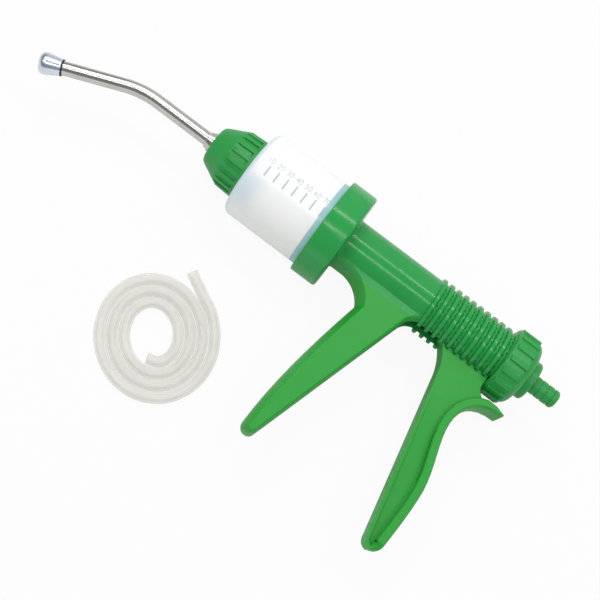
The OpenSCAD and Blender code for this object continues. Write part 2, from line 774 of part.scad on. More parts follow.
// Rear handle with the hub that slides in the tube
module rear_handle() {
    color(green)
    difference() {
        union() {
            difference() {
                lever_plate();
                web_recess();
            }
            palm_flange();
            ring(0, hub_r, lever_x, hub_x);
        }
        ring(0, rod_d / 2 + snug, lever_x - 1, hub_x + 1);
        translate([lever_x + hub_len / 2, 0, 0])
            cylinder(r = 1.5 + snug, h = tube_d, center = true, $fn = 32);
    }
}

// Hollow rod from the rear handle to the piston
module plunger_rod() {
    seal_x = rod_back + 2;
    color(steel)
    difference() {
        turned([[rod_bore_d / 2, rod_back], [rod_d / 2, rod_back], [rod_d / 2, rod_x],
            [rod_bore_d / 2, rod_x], [rod_bore_d / 2, seal_x + 1.6], [rod_bore_d / 2 + 1.1, seal_x + 1.6],
            [rod_bore_d / 2 + 1.1, seal_x], [rod_bore_d / 2, seal_x]]);
        translate([lever_x + hub_len / 2, 0, 0])
            for (flip = [0, 1])
                mirror([0, 0, flip])
                    translate([0, 0, rod_bore_d / 2 + 0.6])
                        cylinder(r = 1.5 + snug, h = rod_d, $fn = 32);
    }
}

// Two short pins that lock the rod in the rear handle's hub
module rod_pin() {
    foot = rod_bore_d / 2 + 0.7;
    color(steel)
    translate([lever_x + hub_len / 2, 0, 0])
        for (flip = [0, 1])
            mirror([0, 0, flip])
                translate([0, 0, foot])
                    cylinder(r = 1.5, h = hub_r - 0.6 - foot, $fn = 32);
}

// Sealing ring between the rod and the tube of the hose barb
module rod_seal() {
    r = 0.55;
    color(dark)
    translate([rod_back + 2.8, 0, 0])
        rotate([0, 90, 0])
            rotate_extrude($fn = 96)
                translate([barb_tube_r() + running + r, 0])
                    circle(r, $fn = 24);
}

// Piston with grooves for its rings, and the inlet valve's seat
module piston() {
    back = piston_x - piston_len;
    groove = ring_d + 0.2;
    deep = bore_r - running - ring_d - 0.05;
    outer = bore_r - 0.2;
    rings_x = ring_places();
    color(teal)
    turned(concat([[rod_d / 2 + snug, back], [outer - 0.5, back], [outer, back + 0.5]],
        [for (x = rings_x) each [[outer, x - groove / 2], [deep, x - groove / 2], [deep, x + groove / 2],
            [outer, x + groove / 2]]],
        [[outer, piston_x - 0.5], [outer - 0.5, piston_x], [piston_recess_r, piston_x],
            [piston_recess_r, seat_x], [rod_bore_d / 2, seat_x], [rod_bore_d / 2, rod_x],
            [rod_d / 2 + snug, rod_x]]));
}

// Middles of the piston's two rings
function ring_places() = [for (k = [1, 2]) piston_x - piston_len + (piston_len - piston_peek) * k / 3];

// Two sealing rings around the piston
module piston_rings() {
    color(dark)
    for (x = ring_places())
        translate([x, 0, 0])
            rotate([0, 90, 0])
                rotate_extrude($fn = 96)
                    translate([ring_mid_r, 0])
                        circle(ring_d / 2, $fn = 24);
}

// Cage over the inlet valve, with windows for the liquid
module inlet_cage() {
    window_w = 4;
    color(sea_blue)
    difference() {
        turned([[cage_r - cage_wall, seat_x], [cage_r, seat_x], [cage_r, cage_x], [0, cage_x],
            [0, cage_x - cage_plate], [cage_r - cage_wall, cage_x - cage_plate]]);
        for (a = [0, 90])
            rotate([a, 0, 0])
                translate([seat_x + 1.2, -window_w / 2, -cage_r - 1])
                    cube([piston_recess - 2, window_w, 2 * cage_r + 2]);
    }
}

// Disc of the inlet valve, with the stem that guides it in the rod
module inlet_poppet() {
    stem_r = rod_bore_d / 2 - 1;
    disc_r = cage_r - cage_wall - 1.6;
    face = seat_x + running;
    color(teal)
    turned([[0, rod_x - 3], [stem_r, rod_x - 3], [stem_r, face], [disc_r, face], [disc_r, face + poppet_t],
        [0, face + poppet_t]]);
}

// Spring that closes the inlet valve
module inlet_spring() {
    color(steel)
    coil_spring(seat_x + running + poppet_t, cage_x - cage_plate, 3.6, valve_wire, 3);
}

// Ridged nut on the dose thread, which sets how far back the handle springs
module rear_nut() {
    floor_x = spigot_x - running;
    color(green)
    difference() {
        union() {
            turned(concat([[0, boss_back], [boss_d / 2 - 0.8, boss_back], [boss_d / 2, boss_back + 0.8],
                [boss_d / 2, nut_back]],
                arc([nut_r - nut_round, nut_back + nut_round], nut_round, -90, 0, 8),
                [[nut_r, nut_x - 0.6], [nut_r - 0.6, nut_x], [0, nut_x]]));
            for (k = [0:nut_ridges - 1])
                rotate([k * 360 / nut_ridges + nut_turned, 0, 0])
                    translate([nut_x - 1.6 - nut_ridge_len, -nut_ridge_w / 2, nut_bore_r + nut_wall / 2])
                        cube([nut_ridge_len, nut_ridge_w, nut_wall / 2 + nut_ridge_h]);
        }
        turned([[0, boss_back - 1], [barb_hole_r, boss_back - 1], [barb_hole_r, floor_x], [nut_bore_r, floor_x],
            [nut_bore_r, nut_x + 1], [0, nut_x + 1]]);
    }
}

// Outside radius of the barb's inner tube, which slides in the plunger rod
function barb_tube_r() = rod_bore_d / 2 - running - 0.05;

// Hose barb with its flange in the nut and its long tube in the rod
module hose_barb() {
    pitch = (barb_len + barb_groove) / barb_ridges;
    groove_r = barb_r - barb_groove_h;
    clip_r = barb_r - clip_groove_h;
    shank_r = barb_hole_r - running;
    color(deep_green)
    turned(concat([[barb_bore_r, barb_end], [barb_r - 1.2, barb_end], [barb_r, barb_end + 1.2]],
        [for (k = [1:barb_ridges - 1]) let (x = barb_end + k * pitch)
            each [[barb_r, x - barb_groove], [groove_r, x - barb_groove], [groove_r, x], [barb_r, x]]],
        [[barb_r, barb_x], [clip_r, barb_x], [clip_r, barb_x + clip_t], [shank_r, barb_x + clip_t],
            [shank_r, spigot_x], [tube_bore_r - 2, spigot_x], [tube_bore_r - 2, spigot_x + spigot_flange_t],
            [barb_tube_r(), spigot_x + spigot_flange_t], [barb_tube_r(), spigot_front],
            [barb_bore_r, spigot_front]]));
}

// Snap ring that holds the barb in the nut's boss
module barb_clip() {
    color(dark)
    ring(barb_r - clip_groove_h + snug, barb_hole_r + 0.7, barb_x + snug, barb_x + clip_t - snug);
}

// Points along the middle of the coiled hose, in the gun's own plane
function hose_path() =
    let (steps = floor(coil_sweep / coil_step),
        low = hose_d / 2 - collar_r,
        spiral = [for (i = [0:steps])
            let (a = coil_start - i * coil_step,
                r = coil_r - coil_pitch * i * coil_step / 360,
                u = r * cos(a),
                v = r * coil_oval * sin(a),
                mid = coil_mid + coil_drift * (1 - i / steps))
            [mid.x + u * cos(coil_turn) - v * sin(coil_turn),
                mid.y + u * sin(coil_turn) + v * cos(coil_turn), low]],
        out = unit(spiral[0] - spiral[1]))
    concat([spiral[0] + hose_tail * out, spiral[0] + hose_d * out],
        [for (i = [0:steps]) if (i != steps - 1) spiral[i]]);

// Length of the hose along its middle
function hose_length(path) = sum([for (i = [1:len(path) - 1]) norm(path[i] - path[i - 1])], len(path) - 2);

function sum(list, i) = i < 0 ? 0 : list[i] + sum(list, i - 1);

// Least room between two stretches of the hose that lie more than half a turn apart
function hose_gap(path) =
    min([for (i = [0:len(path) - 1], k = [i + 12:len(path) - 1]) norm(path[i] - path[k])]) - hose_d;

// Coil of clear supply hose, lying beside the gun
module supply_hose() {
    path = hose_path();
    echo(least_gap_between_hose_turns = hose_gap(path), hose_length = hose_length(path));
    color(ivory)
    swept_tube(path, [for (p = path) [0, 0, 1]], hose_d / 2, 6);
}

translate(gun_shift) {
    front_body();
    barrel();
    barrel_gasket();
    rod_guide();
    return_spring();
    nozzle_cap();
    cap_gasket();
    outlet_seat();
    outlet_poppet();
    outlet_spring();
    delivery_pipe();
    nozzle_ferrule();
    nozzle_tip();
    tip_ring();
    rear_handle();
    plunger_rod();
    rod_pin();
    rod_seal();
    piston();
    piston_rings();
    inlet_cage();
    inlet_poppet();
    inlet_spring();
    rear_nut();
    hose_barb();
    barb_clip();
    supply_hose();
}
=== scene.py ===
# %% [markdown]
# # A livestock drencher, finished in Blender
# The gun is already a CAD assembly of separate pieces on real joints. This lesson loads it as a fixed
# frame and adds what the solids leave plain: a finish for every piece, rounded edges, the soft hose, the
# wound springs, the rounded crest of the dose thread and the raised scale on the barrel.

import math

import bmesh
import bpy
from mathutils import Matrix, Vector


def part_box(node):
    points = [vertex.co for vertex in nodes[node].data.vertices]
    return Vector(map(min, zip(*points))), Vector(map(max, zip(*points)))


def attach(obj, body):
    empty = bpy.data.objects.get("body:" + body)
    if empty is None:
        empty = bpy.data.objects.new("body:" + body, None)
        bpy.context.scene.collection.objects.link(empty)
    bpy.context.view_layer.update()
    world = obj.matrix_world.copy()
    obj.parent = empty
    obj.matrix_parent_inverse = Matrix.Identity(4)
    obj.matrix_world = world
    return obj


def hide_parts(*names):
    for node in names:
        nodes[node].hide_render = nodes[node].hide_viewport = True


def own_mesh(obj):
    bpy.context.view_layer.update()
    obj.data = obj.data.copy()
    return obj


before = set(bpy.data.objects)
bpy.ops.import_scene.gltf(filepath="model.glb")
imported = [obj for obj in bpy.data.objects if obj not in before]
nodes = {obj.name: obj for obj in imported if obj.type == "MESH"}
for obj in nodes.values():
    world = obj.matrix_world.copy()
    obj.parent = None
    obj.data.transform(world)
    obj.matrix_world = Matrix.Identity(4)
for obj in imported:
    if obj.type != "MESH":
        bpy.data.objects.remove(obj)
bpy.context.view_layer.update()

# %% [markdown]
# ## One place to measure from
# A gun maker measures along the barrel's axis. So does this lesson: x runs forward from the collar's back
# face, y goes down towards the handles and z is the side that faces us. The barrel's box gives the axis,
# and one helper turns such millimetres into a point of the scene.

# %% Measure from the gun's axis
BARREL_BACK = 4.8  # mm from the collar's back face to the barrel
barrel_low, barrel_high = (Vector(corner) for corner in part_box("barrel"))
GUN = (barrel_low + barrel_high) / 2
GUN.x = barrel_low.x - BARREL_BACK / 1000


def gun(x, y=0.0, z=0.0):
    """The scene's point at x, y and z millimetres from the collar's back face on the barrel's axis."""
    return GUN + Vector((x, y, z)) / 1000


print("the barrel's axis lies", round(GUN.z * 1000), "mm above the floor")

# %% [markdown]
# ## The camera
# The photograph looks down on the gun from in front of the handles, tilted by 17 degrees, with the frame
# turned by 37 degrees so that the gun lies across it. A rotation could be found by trial, but the three
# directions of the frame are known, so they are the columns of the camera's matrix.

# %% Set up the camera
CAMERA_AT = (-9.07, 214.52, 566.85)  # mm from the gun's own origin
SENSOR, FOCAL = 36, 67.2  # mm
SHIFT_X, SHIFT_Y = -0.0253, 0.019  # of the frame's width
tilt, roll = math.radians(17), math.radians(37)
look = Vector((0, -math.sin(tilt), -math.cos(tilt)))
level = Vector((-1, 0, 0))
fall = Vector((0, math.cos(tilt), -math.sin(tilt)))
right = level * math.cos(roll) - fall * math.sin(roll)
up = -(level * math.sin(roll) + fall * math.cos(roll))
lens = bpy.data.cameras.new("photo_camera")
lens.sensor_width, lens.lens = SENSOR, FOCAL
lens.shift_x, lens.shift_y = SHIFT_X, SHIFT_Y
camera = bpy.data.objects.new("photo_camera", lens)
facing = Matrix((right, up, -look)).transposed().to_4x4()
camera.matrix_world = Matrix.Translation(gun(*CAMERA_AT)) @ facing
bpy.context.scene.collection.objects.link(camera)
bpy.context.scene.camera = camera
print("camera", round(camera.location.length, 3), "m from the origin")

# %% [markdown]
# ## The loose hose
# The hose is half a metre of soft clear tube, wound flat into a little more than three turns with both ends
# bare. A round spiral would be too even, so the coil is a little longer than wide, its turns just clear each
# other and the outer end runs off straight. A curve through these points gives a smooth line. Bevelled, it
# is a round skin, and giving that skin a wall leaves the open bore at both ends.

# %% Wind the hose
HOSE_D, HOSE_WALL, HOSE_TAIL = 0.0063, 0.0011, 0.0154  # metres
COIL_X, COIL_Y = 52.2, 98  # mm, the coil's middle
COIL_R, COIL_PITCH, COIL_LONGER = 33, 6.55, 3.6  # mm: outer radius, one turn's room, extra length
COIL_START, COIL_STEP, COIL_LEAN = 210, 15, 43  # degrees
COIL_STEPS = 82
LINE_STEPS, TUBE_STEPS = 8, 11  # how finely a curve is cut along and around
WELD = 1e-6  # metres


def hose_point(step):
    """The middle of the hose after so many steps round its coil, resting on the floor."""
    a = math.radians(COIL_START - COIL_STEP * step)
    r = COIL_R - COIL_PITCH * COIL_STEP * step / 360
    oval = Vector((r * math.cos(a), (r + COIL_LONGER) * math.sin(a)))
    flat = Matrix.Rotation(math.radians(COIL_LEAN), 2) @ oval
    return gun(COIL_X + flat.x, COIL_Y + flat.y, HOSE_D * 500) - Vector((0, 0, GUN.z))


start = hose_point(0)
away = (start - hose_point(1)).normalized()
route = [start + away * HOSE_TAIL, start + away * HOSE_D]
route += [hose_point(i) for i in range(COIL_STEPS - 1)] + [hose_point(COIL_STEPS)]


def smooth_line(name, points, radius):
    """A curve object that runs smoothly through the points, as a round tube if it has a radius."""
    data = bpy.data.curves.new(name, "CURVE")
    data.dimensions = "3D"
    data.resolution_u = LINE_STEPS
    data.bevel_depth, data.bevel_resolution = radius, TUBE_STEPS
    spline = data.splines.new("BEZIER")
    spline.bezier_points.add(len(points) - 1)
    for knot, point in zip(spline.bezier_points, points):
        knot.co = point
        knot.handle_left_type = knot.handle_right_type = "AUTO"
    line = bpy.data.objects.new(name, data)
    bpy.context.scene.collection.objects.link(line)
    return line


def as_mesh(item):
    """The mesh of a curve or text object, which is then removed."""
    bpy.context.view_layer.update()
    mesh = bpy.data.meshes.new_from_object(item.evaluated_get(bpy.context.evaluated_depsgraph_get()))
    bpy.data.objects.remove(item)
    return mesh


def piece(name, bm, body, slot_name, *replaced):
    """A finished piece from a bmesh: smooth, riding on a body, with the CAD nodes that it stands for."""
    mesh = bpy.data.meshes.new(name)
    bm.to_mesh(mesh)
    bm.free()
    mesh.shade_smooth()
    made = bpy.data.objects.new(name, mesh)
    bpy.context.scene.collection.objects.link(made)
    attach(made, body)
    if replaced:
        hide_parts(*replaced)
    print(name, len(mesh.polygons), "faces, on", body)
    return made


middle = [v.co.copy() for v in as_mesh(smooth_line("hose_middle", route, 0)).vertices]
hose_bm = bmesh.new()
hose_bm.from_mesh(as_mesh(smooth_line("hose_skin", route, HOSE_D / 2)))
bmesh.ops.remove_doubles(hose_bm, verts=hose_bm.verts, dist=WELD)
bmesh.ops.recalc_face_normals(hose_bm, faces=hose_bm.faces)
bmesh.ops.solidify(hose_bm, geom=hose_bm.faces[:], thickness=HOSE_WALL)
hose = piece("clear_hose", hose_bm, "body", "clear_hose", "supply_hose")

# %% [markdown]
# ## Shader arithmetic
# A procedural finish is a small calculation for every point of a surface. Wiring it by hand takes many
# lines, so a wrapped socket lets Python's own operators add the Math nodes, and one method makes every other
# node: first its settings, then the values or links of its sockets.

# %% Wrap the node tree


class Socket:
    """A shader socket that takes part in Python arithmetic."""

    def __init__(self, nodes_of, socket):
        self.nodes_of, self.socket = nodes_of, socket

    def math(self, operation, first, second):
        """The result of one Math node."""
        return self.nodes_of.node("ShaderNodeMath", {"operation": operation}, {0: first, 1: second})

    def __add__(self, other):
        return self.math("ADD", self, other)

    def __radd__(self, other):
        return self.math("ADD", other, self)

    def __sub__(self, other):
        return self.math("SUBTRACT", self, other)

    def __rsub__(self, other):
        return self.math("SUBTRACT", other, self)

    def __mul__(self, other):
        return self.math("MULTIPLY", self, other)

    def __rmul__(self, other):
        return self.math("MULTIPLY", other, self)

    def above(self, edge, soft):
        """1 where the value is past the edge, 0 before it, with a soft step between."""
        return self.nodes_of.node("ShaderNodeMapRange", {"interpolation_type": "SMOOTHSTEP"},
                                  {"Value": self, "From Min": edge - soft, "From Max": edge + soft})


class Nodes:
    """A node tree whose nodes all come from one method."""

    def __init__(self, owner):
        owner.use_nodes = True
        self.owner, self.tree = owner, owner.node_tree
        self.tree.nodes.clear()

    def node(self, kind, settings=None, sockets=None, out=0):
        """Adds a node with its settings and its values or links, and gives one of its outputs."""
        made = self.tree.nodes.new(kind)
        for key, value in (settings or {}).items():
            setattr(made, key, value)
        for key, value in (sockets or {}).items():
            if isinstance(value, Socket):
                self.tree.links.new(value.socket, made.inputs[key])
            else:
                made.inputs[key].default_value = value
        return Socket(self, made.outputs[out]) if made.outputs else None

    def noise(self, where, scale, detail=2.0):
        """Soft noise with so many patches to the metre."""
        values = {"Vector": where, "Scale": scale, "Detail": detail}
        return self.node("ShaderNodeTexNoise", None, values, "Fac")

    def blend(self, share, first, second):
        """A colour that goes from the first to the second as the share goes from 0 to 1."""
        return self.node("ShaderNodeMix", {"data_type": "RGBA"}, {0: share, 6: first, 7: second}, 2)

    def bump(self, height, depth, under=None):
        """A normal that rises and falls with the height, over a plain or another normal."""
        over = {"Normal": under} if under else {}
        return self.node("ShaderNodeBump", None, {"Height": height, "Distance": depth, **over}, "Normal")

    def surface(self, sockets):
        """Closes a material with the one shader that takes these values, and gives the material."""
        shader = self.node("ShaderNodeBsdfPrincipled", None, sockets, "BSDF")
        self.node("ShaderNodeOutputMaterial", None, {"Surface": shader})
        return self.owner


def tone(red, green, blue):
    """A colour as a photograph writes it, from 0 to 255, as the light that Blender works with."""
    linear = [c / 255 / 12.92 if c < 11 else ((c / 255 + 0.055) / 1.055) ** 2.4 for c in (red, green, blue)]
    return tuple(linear) + (1.0,)


def finish(name):
    """An empty material, with the Object coordinates that its patterns read."""
    made = Nodes(bpy.data.materials.new(name))
    return made, made.node("ShaderNodeTexCoord", out="Object")


WHITE = (1, 1, 1, 1)
print("shader tools ready")

# %% [markdown]
# ## Moulded plastic
# The gun's body, handles, cap and nut are glossy green mouldings. Real mouldings aren't one flat colour: the
# melt leaves faint clouds, the skin has a fine orange peel, and the gloss is uneven where hands have been.
# Noise at three sizes gives each of these. The flat sides of the handles are rougher, and they can take a
# tone of their own, less blue, painted to balance the sheen that the lamps leave on them. No mould has a
# sharp edge either, so a bevel node turns the light round every corner.

# %% Mix the green and the valve plastics
CLOUDS, HANDS, PEEL = 26, 60, 900  # patches to the metre
PEEL_DEPTH = 0.000012  # metres
GRIP_Y, GRIP_X = 14.6, -1  # mm: the handles lie below the one and behind the other


def moulded(name, light, deep, gloss, edge, grip=0.0, flat_sheen_tone=None):
    """A glossy moulding between two tones, with clouds, orange peel, soft edges, and rougher handle flats
    that can take a painted tone to balance their sheen.
    """
    made, where = finish(name)
    clouds = made.noise(where, CLOUDS, 3)
    hands = made.noise(where, HANDS, 4)
    skin = made.noise(where, PEEL, 1)
    soft = made.node("ShaderNodeBevel", {"samples": 6}, {"Radius": edge})
    spot = {axis: made.node("ShaderNodeSeparateXYZ", None, {0: where}, axis) for axis in "XY"}
    handle_flats = spot["Y"].above(gun(0, GRIP_Y).y, 0.001) * (1 - spot["X"].above(gun(GRIP_X).x, 0.001))
    colour = made.blend(clouds.above(0.5, 0.22), light, deep)
    # On the handle flats the colour turns to a painted tone that balances the sheen the lamps leave there.
    return made.surface({"Base Color": made.blend(handle_flats, colour, flat_sheen_tone) if flat_sheen_tone else colour,
                         "Roughness": gloss + 0.08 * hands.above(0.56, 0.12) + grip * handle_flats,
                         "Normal": made.bump(skin, PEEL_DEPTH, soft), "IOR": 1.46})


green = moulded("green_moulding", tone(43, 163, 78), tone(38, 156, 73), 0.18, 0.0003)
satin_green = moulded("green_satin", tone(44, 163, 76), tone(38, 155, 71), 0.36, 0.0004)
# The last tone of green_grip is painted on the handle flats to balance their sheen.
grip_green = moulded("green_grip", tone(43, 163, 79), tone(38, 157, 74), 0.18, 0.0004, 0.2,
                     tone(37, 165, 54))
teal = moulded("teal_moulding", tone(72, 160, 166), tone(60, 148, 156), 0.3, 0.0002)
blue = moulded("blue_moulding", tone(96, 152, 200), tone(84, 140, 190), 0.3, 0.0002)
print("mixed", green.name, satin_green.name, grip_green.name, teal.name, blue.name)

# %% [markdown]
# ## The frosted barrel
# The barrel is milky polypropylene: it scatters most of the light and lets a faint picture of the valve and
# the piston through. A white surface with some alpha does that and still lets light inside, and a faint
# painted glow stands in for the light that wanders in the wall. The scale sits on a smoother, whiter band
# along the side that faces us. Where the piston lies against the wall by the collar, its teal is painted on
# the wall as it shows through. A pale blue is painted on the front edge for the light in its thick rim, and a
# blue tint on the wall by the valve where the valve shows through. The glow is tinted blue at the valve and
# the piston too.

# %% Frost the barrel
BAND_FROM, BAND_TO, BAND_END = -14.2, 19.3, 59.5  # degrees round the barrel, and mm along it
RIM_AT, PISTON_TINT_TO = 61.6, 19.1  # mm along the barrel
SEAT_AT, SEAT_FROM, SEAT_TO = 53, 20, 62  # mm along the barrel, and degrees round it
frosted, where = finish("frosted_barrel")
spot = {axis: frosted.node("ShaderNodeSeparateXYZ", None, {0: where}, axis) for axis in "XYZ"}
turn = frosted.node("ShaderNodeMath", {"operation": "ARCTAN2"}, {0: spot["Y"] - GUN.y, 1: spot["Z"] - GUN.z})
band = (turn.above(math.radians(BAND_FROM), 0.008) * (1 - turn.above(math.radians(BAND_TO), 0.008))
        * (1 - spot["X"].above(gun(BAND_END).x, 0.0004)))
milk = frosted.noise(where, 70, 3)
frost = frosted.noise(where, 1500, 2)
# A pale blue painted on the front rim for the light in its thick edge.
rim = spot["X"].above(gun(RIM_AT).x, 0.0005)
# Painted show-through: the piston's teal is painted on the wall by the collar, where the piston lies against
# it.
painted_piston_tint = 1 - spot["X"].above(gun(PISTON_TINT_TO).x, 0.0003)
# A blue tint painted on the wall towards the handles by the valve, where the blue valve shows through.
seat = (spot["X"].above(gun(SEAT_AT).x, 0.007) * turn.above(math.radians(SEAT_FROM), 0.22)
        * (1 - turn.above(math.radians(SEAT_TO), 0.3)))
# milky mixes random clouds in the white with the painted blue tint by the valve.
milky = frosted.blend(0.08 * milk.above(0.5, 0.3) + 0.5 * seat, tone(251, 251, 250), tone(196, 218, 236))
# Painted light on the barrel: the painted piston, rim and valve tints in the colour, and a faint painted
# glow, tinted blue at the valve and the piston.
barrel_finish = frosted.surface({
    "Base Color": frosted.blend(painted_piston_tint, frosted.blend(rim, milky, tone(222, 238, 244)), tone(160, 204, 208)),
    "Roughness": 0.34 - 0.14 * band, "Normal": frosted.bump(frost, 0.00002),
    "Alpha": 0.86 + 0.06 * band, "IOR": 1.35,
    "Emission Color": frosted.blend(seat + painted_piston_tint, WHITE, tone(206, 226, 236)), "Emission Strength": 0.09})
print("frosted the barrel, with a clearer band for the scale")

# %% [markdown]
# ## Metal, rubber and hose
# The pipe and ferrule are polished stainless tube with fine draw marks along it, so their noise is stretched
# along x. The tip is plated. Seals are matte rubber, and the hose is clear vinyl with an ivory cast.

# %% Draw the metals, the rubber and the hose
DRAW_MARKS = (60, 1800, 1800)  # marks to the metre along x, y and z


def metal(name, light, deep, gloss, marks):
    """A metal with fine marks along x, as drawing and polishing leave them."""
    made, where = finish(name)
    drawn = made.node("ShaderNodeMapping", None, {"Vector": where, "Scale": DRAW_MARKS})
    lines = made.noise(drawn, 1.0, 2)
    cloud = made.noise(where, 120, 2)
    return made.surface({"Base Color": made.blend(cloud.above(0.5, 0.3), light, deep), "Metallic": 1.0,
                         "Roughness": gloss + marks * lines, "Normal": made.bump(lines, marks * 0.000005)})


steel = metal("drawn_steel", tone(212, 211, 206), tone(200, 200, 196), 0.18, 0.03)
chrome = metal("bright_chrome", tone(228, 236, 247), tone(218, 228, 243), 0.25, 0.02)
rubber_tree, where = finish("seal_rubber")
dust = rubber_tree.noise(where, 400, 3)
rubber = rubber_tree.surface({"Base Color": rubber_tree.blend(dust, tone(40, 42, 43), tone(58, 60, 60)),
                              "Roughness": 0.55 + 0.2 * dust, "Normal": rubber_tree.bump(dust, 0.00002)})
vinyl, where = finish("clear_vinyl")
haze = vinyl.noise(where, 140, 3)
ivory = vinyl.blend(haze.above(0.5, 0.3), tone(251, 249, 243), tone(248, 244, 236))
hose_finish = vinyl.surface({"Base Color": ivory, "Roughness": 0.12 + 0.06 * haze,
                             "Alpha": 0.34 + 0.08 * haze, "IOR": 1.45,
                             "Coat Weight": 0.5, "Coat Roughness": 0.06})
hose.data.materials.append(hose_finish)
print("drew", steel.name, chrome.name, rubber.name, hose_finish.name)

# %% [markdown]
# ## Dress the solids
# A solid whose shape is right stays as it is and only gets its finish, by its material slots.

# %% Give each solid its finish


def dress(material, *names):
    """Puts one finish on the slots of these CAD nodes."""
    for name in names:
        for place in nodes[name].material_slots:
            place.material = material
    print(material.name, "on", len(names), "solids")


dress(barrel_finish, "barrel")
dress(teal, "piston", "outlet_poppet", "inlet_poppet")
dress(blue, "outlet_seat", "inlet_cage")
dress(steel, "delivery_pipe", "nozzle_ferrule", "plunger_rod", "rod_pin", "rod_guide")
dress(chrome, "nozzle_tip")
dress(rubber, "barrel_gasket", "cap_gasket", "tip_ring", "rod_seal", "piston_rings", "barb_clip")

# %% [markdown]
# ## Smooth mouldings
# The green mouldings have curved surfaces, which the solids give as flat facets, and sharp corners. A copy of
# each with its corners merged can shade smoothly across the small angles between facets and stay sharp at
# real edges, and its outer edges are rounded by a bevel. Joining the triangles of each flat side, and
# weighting the normals by face area, keeps the flat sides flat.

# %% Smooth the mouldings and round their edges
SHARP, FLAT = math.radians(34), math.radians(0.3)
COLLAR_FRONT, COLLAR_RIM = 15.7, 28  # mm along the axis and from it
SEAM, MERGE = 0.0004, 2e-6  # metres


def collar_front(place):
    """Whether a place lies on the outer edge of the collar's front face."""
    reach = math.hypot(place.y - GUN.y, place.z - GUN.z)
    return place.x > gun(COLLAR_FRONT).x and reach > COLLAR_RIM / 1000


def off_seam(place):
    """Whether a place lies off the line below the axis where a turned solid begins and ends."""
    return abs(place.y - GUN.y) > SEAM or place.z > GUN.z


def smooth_copy(name, node, body, slot_name, material, edge, chosen=lambda place: True):
    """A copy of a solid that shades smoothly over small angles, with chosen outer edges rounded in mm."""
    bm = bmesh.new()
    bm.from_mesh(nodes[node].data)
    bmesh.ops.remove_doubles(bm, verts=bm.verts, dist=MERGE)
    bmesh.ops.dissolve_degenerate(bm, edges=bm.edges, dist=MERGE)
    bmesh.ops.dissolve_limit(bm, angle_limit=FLAT, verts=bm.verts, edges=bm.edges)
    corners = [e for e in bm.edges if e.is_convex and e.calc_face_angle() > SHARP
               and all(chosen(v.co) for v in e.verts)]
    bmesh.ops.bevel(bm, geom=corners, offset=edge / 1000, offset_type="OFFSET", affect="EDGES",
                    segments=2, profile=0.5, clamp_overlap=True, material=-1)
    made = piece(name, bm, body, slot_name, node)
    made.data.set_sharp_from_angle(angle=SHARP)
    weighted = made.modifiers.new("weighted_normals", "WEIGHTED_NORMAL")
    weighted.keep_sharp, weighted.weight = True, 90
    made.data.materials.append(material)


smooth_copy("body_moulding", "front_body", "body", "green_plastic", grip_green, 0.7, collar_front)
smooth_copy("handle_moulding", "rear_handle", "handle", "green_plastic", grip_green, 0.3)
smooth_copy("cap_moulding", "nozzle_cap", "body", "green_plastic", satin_green, 0.2)
smooth_copy("nut_moulding", "rear_nut", "rear_nut", "green_plastic", satin_green, 0.2, off_seam)
smooth_copy("barb_moulding", "hose_barb", "inlet_spigot", "green_plastic", satin_green, 0.15)

# %% [markdown]
# ## Springs
# A spring is a round wire wound on a mandrel. Spin does the same: it turns a small circle about the axis and
# moves it along by a little at each step. Each spring rides on the body or the handle.

# %% Wind the three springs
WIRE_SIDES, TURN_STEPS = 10, 28


def coil(name, body, replaced, back, front, radius, wire, turns):
    """A spring between two places on the axis, riding on a body."""
    bm = bmesh.new()
    foot = gun(back + wire / 2)
    made = bmesh.ops.create_circle(bm, segments=WIRE_SIDES, radius=wire / 2000)
    lay = Matrix.Translation(foot + Vector((0, radius / 1000, 0)))
    bmesh.ops.transform(bm, matrix=lay, verts=made["verts"])
    steps = turns * TURN_STEPS
    advance = (front - back - wire) / 1000 / steps
    bmesh.ops.spin(bm, geom=bm.edges[:], cent=foot, axis=(1, 0, 0), dvec=(advance, 0, 0),
                   angle=math.tau * turns, steps=steps)
    bmesh.ops.holes_fill(bm, edges=[e for e in bm.edges if e.is_boundary])
    bmesh.ops.recalc_face_normals(bm, faces=bm.faces)
    spring = piece(name, bm, body, "steel", replaced)
    spring.data.materials.append(steel)
    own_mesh(spring)


coil("return_coil", "body", "return_spring", -74, -2, 8.4, 1.6, 13)
coil("outlet_coil", "body", "outlet_spring", 65.94, 73.94, 4.6, 0.6, 5)
coil("inlet_coil", "handle", "inlet_spring", 14.45, 18, 3.6, 0.6, 3)

# %% [markdown]
# ## The dose thread
# The solid has the thread with plain flanks. The moulded one has a rounded crest that catches the light, so a
# rounded skin lies over it, one turn at a time, because the slot for the rear handle interrupts every turn.

# %% Round the thread's crest
PITCH, THREAD_X, THREAD_R, SLOT_HALF_W = 4.8, -54.1, 16.4, 6.05  # mm
THREAD_LAST, THREAD_END, SLOT_AT, ARC_STEP = 4300, 4305, 270, 6  # degrees
SLOT_HALF = math.degrees(math.asin(SLOT_HALF_W / THREAD_R))
crest = [(-1.5, 14.7), (-1.42, 15.2), (-1.22, 15.9), (-1.06, 16.4),
         (-1.01, 16.6), (-0.9, 16.72), (-0.7, 16.77), (0, 16.78)]  # mm along the axis, mm from it
crest = crest + [(-x, r) for x, r in reversed(crest[:-1])]


